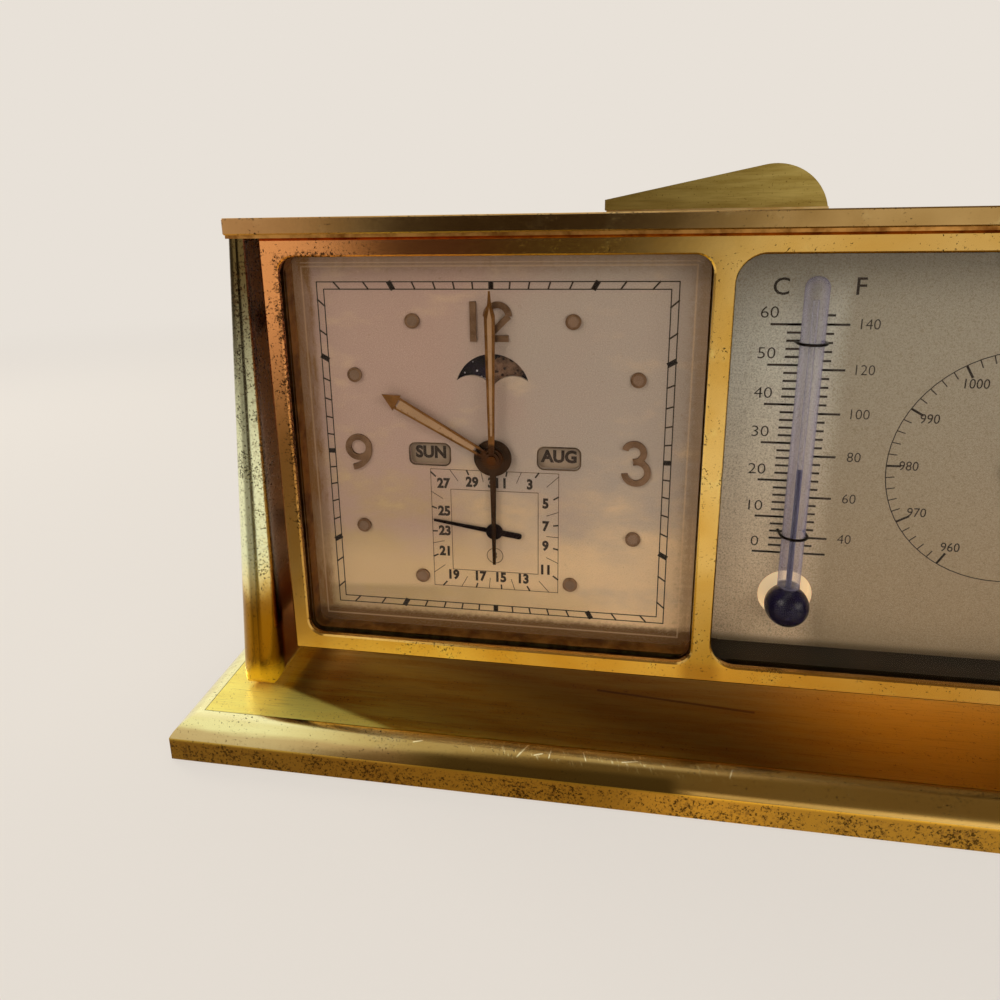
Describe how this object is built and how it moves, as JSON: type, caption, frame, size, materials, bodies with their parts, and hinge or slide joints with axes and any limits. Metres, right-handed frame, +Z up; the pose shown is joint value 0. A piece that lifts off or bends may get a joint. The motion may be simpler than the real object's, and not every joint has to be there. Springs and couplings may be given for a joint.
{
  "type": "moon phase desk clock",
  "caption": "Desk clock in a wide brass case between leaning cheeks on a moulded base: calendar and moon dial beside a thermometer and barometer, with a swivelling compass on top.",
  "frame": {"origin": "middle of the felt under the base", "axes": "+X to the right along the front, +Y from the dials to the back, +Z up"},
  "size_m": [0.174, 0.0624, 0.0955],
  "materials": {
    "gilt_brass": "aged, polished gilt brass with dark tarnish specks",
    "brushed_brass": "horizontally brushed brass",
    "shell_brass": "satin brass",
    "turned_brass": "turned and lacquered brass",
    "movement_brass": "plain cut brass",
    "steel": "polished steel",
    "felt": "green felt",
    "crystal": "clear mineral glass with a bevelled edge",
    "dial_silver": "matt silvered dial with black print",
    "name_disc": "white enamel with black words",
    "moon_disc": "night blue with stars and two moons",
    "marker_gold": "bright gilt",
    "hand_gold": "gilt with cream lume",
    "hand_dark": "blue-black",
    "glass_tube": "clear drawn glass",
    "spirit": "blue spirit",
    "black_wire": "black",
    "capsule": "corrugated nickel silver",
    "compass_card": "white card with a plain ring of divisions",
    "needle": "red and dark blue"
  },
  "bodies": {
    "case": {"base_moulding": "gilt_brass", "base_panel": "brushed_brass", "base_felt": "felt", "base_screws": "steel", "left_cheek": "gilt_brass", "right_cheek": "gilt_brass", "side_posts": "turned_brass", "under_plate": "shell_brass", "top_plate": "gilt_brass", "top_plate_screws": "steel", "front_frame": "gilt_brass", "frame_screws": "steel", "case_shell": "shell_brass", "rear_cover": "shell_brass", "rear_cover_screws": "steel", "clock_crystal": "crystal", "clock_rehaut": "shell_brass", "clock_dial": "dial_silver", "hour_markers": "marker_gold", "weather_crystal": "crystal", "weather_rehaut": "shell_brass", "weather_plate": "dial_silver", "thermometer_tube": "glass_tube", "thermometer_spirit": "spirit", "thermometer_clips": "black_wire", "barometer_frame": "movement_brass", "aneroid_capsule": "capsule", "calendar_plate": "movement_brass", "movement_front_plate": "movement_brass", "movement_rear_plate": "movement_brass", "movement_pillars": "movement_brass", "movement_screws": "steel"},
    "minute_work": {"center_wheel": "movement_brass", "minute_hand": "hand_gold", "time_set_knob": "turned_brass"},
    "hour_work": {"hour_wheel": "movement_brass", "hour_hand": "hand_gold"},
    "alarm_work": {"alarm_wheel": "movement_brass", "alarm_hand": "hand_dark"},
    "minute_wheel": {"minute_wheel": "movement_brass"},
    "going_barrel": {"going_barrel": "movement_brass"},
    "alarm_barrel": {"alarm_barrel": "movement_brass"},
    "third_wheel": {"third_wheel": "movement_brass"},
    "escape_wheel": {"escape_wheel": "steel"},
    "balance_wheel": {"balance_wheel": "movement_brass"},
    "day_disc": {"day_disc": "name_disc"},
    "month_disc": {"month_disc": "name_disc"},
    "moon_disc": {"moon_disc": "moon_disc"},
    "date_hand": {"date_hand": "hand_dark"},
    "time_winding_key": {"time_winding_key": "turned_brass"},
    "alarm_winding_key": {"alarm_winding_key": "turned_brass"},
    "alarm_set_knob": {"alarm_set_knob": "turned_brass"},
    "calendar_corrector": {"calendar_corrector": "turned_brass"},
    "alarm_stop_button": {"alarm_stop_button": "turned_brass"},
    "barometer_pointer": {"barometer_pointer": "black_wire"},
    "compass": {"compass_housing": "brushed_brass", "compass_washer": "shell_brass", "compass_card": "compass_card", "compass_glass": "crystal"},
    "compass_needle": {"compass_needle": "needle"}
  },
  "joints": [
    {"name": "minute_turn", "type": "hinge", "parent": "case", "child": "minute_work", "pos_m": [-0.0335, 0, 0.05115], "axis": [0, 1, 0], "continuous": true},
    {"name": "hour_turn", "type": "hinge", "parent": "case", "child": "hour_work", "pos_m": [-0.0335, -0.013, 0.05115], "axis": [0, 1, 0], "continuous": true},
    {"name": "minute_wheel_turn", "type": "hinge", "parent": "case", "child": "minute_wheel", "pos_m": [-0.04036, -0.008, 0.04429], "axis": [0, 1, 0], "continuous": true},
    {"name": "going_barrel_turn", "type": "hinge", "parent": "case", "child": "going_barrel", "pos_m": [-0.0431, -0.002, 0.04395], "axis": [0, 1, 0], "continuous": true},
    {"name": "third_wheel_turn", "type": "hinge", "parent": "case", "child": "third_wheel", "pos_m": [-0.0259, 0, 0.05635], "axis": [0, 1, 0], "continuous": true},
    {"name": "escape_wheel_turn", "type": "hinge", "parent": "case", "child": "escape_wheel", "pos_m": [-0.0274, 0, 0.0638], "axis": [0, 1, 0], "continuous": true},
    {"name": "alarm_set_turn", "type": "hinge", "parent": "case", "child": "alarm_set_knob", "pos_m": [-0.04275, 0, 0.0604], "axis": [0, 1, 0], "continuous": true},
    {"name": "alarm_turn", "type": "hinge", "parent": "case", "child": "alarm_work", "pos_m": [-0.0335, -0.013, 0.05115], "axis": [0, 1, 0], "continuous": true},
    {"name": "alarm_barrel_turn", "type": "hinge", "parent": "case", "child": "alarm_barrel", "pos_m": [-0.021, -0.003, 0.03915], "axis": [0, 1, 0], "continuous": true},
    {"name": "time_key_turn", "type": "hinge", "parent": "case", "child": "time_winding_key", "pos_m": [-0.0431, 0.02, 0.04395], "axis": [0, 1, 0], "continuous": true},
    {"name": "alarm_key_turn", "type": "hinge", "parent": "case", "child": "alarm_winding_key", "pos_m": [-0.021, 0.02, 0.03915], "axis": [0, 1, 0], "continuous": true},
    {"name": "day_turn", "type": "hinge", "parent": "case", "child": "day_disc", "pos_m": [-0.0516, -0.0137, 0.05115], "axis": [0, 1, 0], "continuous": true},
    {"name": "month_turn", "type": "hinge", "parent": "case", "child": "month_disc", "pos_m": [-0.0154, -0.0137, 0.05115], "axis": [0, 1, 0], "continuous": true},
    {"name": "moon_turn", "type": "hinge", "parent": "case", "child": "moon_disc", "pos_m": [-0.0335, -0.0137, 0.06202], "axis": [0, 1, 0], "continuous": true},
    {"name": "date_turn", "type": "hinge", "parent": "case", "child": "date_hand", "pos_m": [-0.0335, -0.014, 0.03815], "axis": [0, 1, 0], "continuous": true},
    {"name": "balance_swing", "type": "hinge", "parent": "case", "child": "balance_wheel", "pos_m": [-0.0201, 0, 0.06815], "axis": [0, 1, 0], "range_deg": [-135, 135], "stiffness_Nm_per_rad": 0.000004},
    {"name": "corrector_press", "type": "slide", "parent": "case", "child": "calendar_corrector", "axis": [0, -1, 0], "range_m": [0, 0.0012], "stiffness_N_per_m": 300, "springref_m": -0.001},
    {"name": "alarm_stop_press", "type": "slide", "parent": "case", "child": "alarm_stop_button", "axis": [0, -1, 0], "range_m": [0, 0.0012], "stiffness_N_per_m": 300, "springref_m": -0.001},
    {"name": "barometer_turn", "type": "hinge", "parent": "case", "child": "barometer_pointer", "pos_m": [0.0445, -0.0125, 0.05115], "axis": [0, 1, 0], "range_deg": [-150, 150], "stiffness_Nm_per_rad": 0.00002},
    {"name": "compass_swivel", "type": "hinge", "parent": "case", "child": "compass", "pos_m": [0, 0, 0.08895], "axis": [0, 0, 1], "continuous": true},
    {"name": "needle_turn", "type": "hinge", "parent": "compass", "child": "compass_needle", "pos_m": [-0.0014, 0, 0.09386], "axis": [-0.1934, 0, 0.9811], "continuous": true}
  ],
  "couplings": [
    {"joint": "hour_turn", "follows": "minute_turn", "ratio": 0.083333},
    {"joint": "minute_wheel_turn", "follows": "minute_turn", "ratio": -0.33333},
    {"joint": "going_barrel_turn", "follows": "minute_turn", "ratio": -0.125},
    {"joint": "third_wheel_turn", "follows": "minute_turn", "ratio": -8},
    {"joint": "escape_wheel_turn", "follows": "minute_turn", "ratio": 72},
    {"joint": "alarm_turn", "follows": "alarm_set_turn", "ratio": -0.5}
  ]
}
